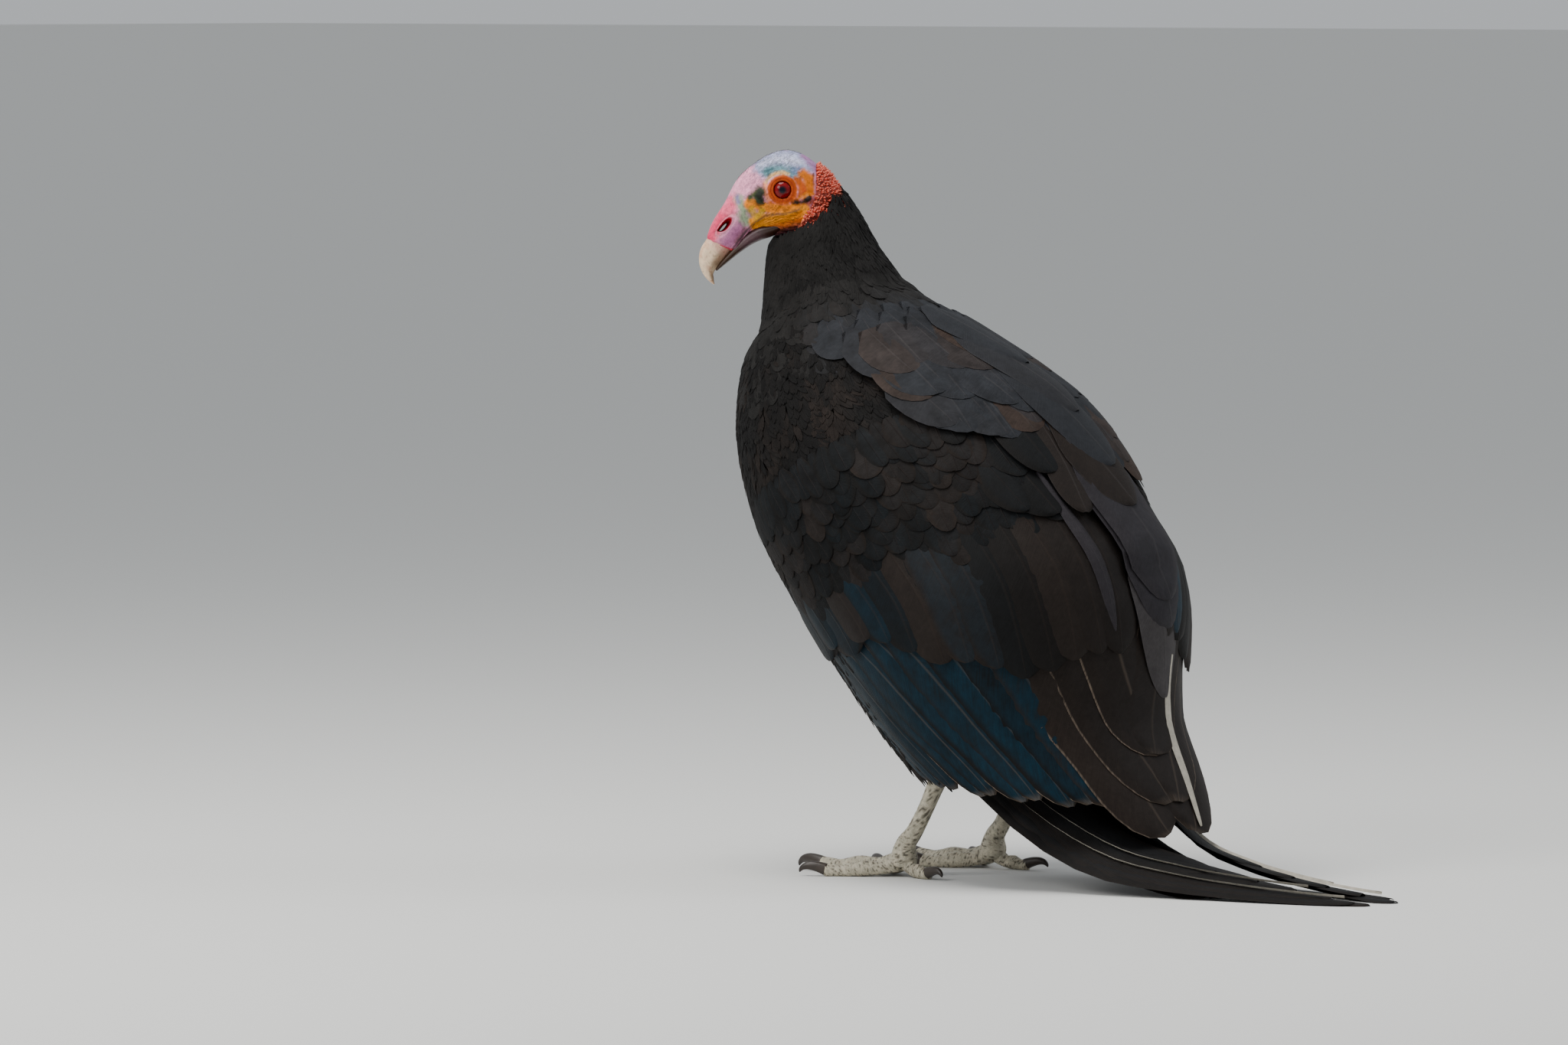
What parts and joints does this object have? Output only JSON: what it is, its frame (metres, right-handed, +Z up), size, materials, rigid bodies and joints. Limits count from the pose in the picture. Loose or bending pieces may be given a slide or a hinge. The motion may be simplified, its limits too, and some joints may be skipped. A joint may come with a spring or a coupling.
{
  "type": "lesser yellow-headed vulture, standing",
  "caption": "Life-size still model of a black-brown vulture with a bare orange and lilac head turned aside, wings folded, standing with wing tips and tail laid on the floor.",
  "frame": {"origin": "middle of the floor area that the whole bird covers, at floor level", "axes": "+Z up, the bird's breast faces -Y and its tail lies towards +Y, its left side is +X"},
  "size_m": [0.204, 0.4624, 0.4056],
  "materials": {
    "head_skin": "bare wrinkled skin, orange-yellow on the cheeks, pink on the cere, blue-grey on the crown",
    "bill_horn": "ivory horn, satin",
    "eye": "dark crimson, glossy and opaque",
    "plumage": "brown-black contour feathers",
    "flight_feathers": "black-brown feather vanes with a slight blue-green sheen",
    "leg_scales": "pale grey scaly skin",
    "claw_horn": "dark grey horn, satin"
  },
  "bodies": {
    "root": {"head": "head_skin", "upper_bill": "bill_horn", "lower_bill": "bill_horn", "left_eye": "eye", "right_eye": "eye", "neck": "plumage", "ruff": "plumage", "breast": "plumage", "belly": "plumage", "rump": "plumage", "tail": "flight_feathers", "left_wing_coverts": "plumage", "left_wing_secondaries": "flight_feathers", "left_scapulars": "plumage", "left_wing_primaries": "flight_feathers", "left_thigh": "plumage", "left_shank": "leg_scales", "left_toe_middle": "leg_scales", "left_claw_middle": "claw_horn", "left_toe_inner": "leg_scales", "left_claw_inner": "claw_horn", "left_toe_outer": "leg_scales", "left_claw_outer": "claw_horn", "left_toe_hind": "leg_scales", "left_claw_hind": "claw_horn", "right_wing_coverts": "plumage", "right_wing_secondaries": "flight_feathers", "right_scapulars": "plumage", "right_wing_primaries": "flight_feathers", "right_thigh": "plumage", "right_shank": "leg_scales", "right_toe_middle": "leg_scales", "right_claw_middle": "claw_horn", "right_toe_inner": "leg_scales", "right_claw_inner": "claw_horn", "right_toe_outer": "leg_scales", "right_claw_outer": "claw_horn", "right_toe_hind": "leg_scales", "right_claw_hind": "claw_horn"}
  },
  "joints": []
}
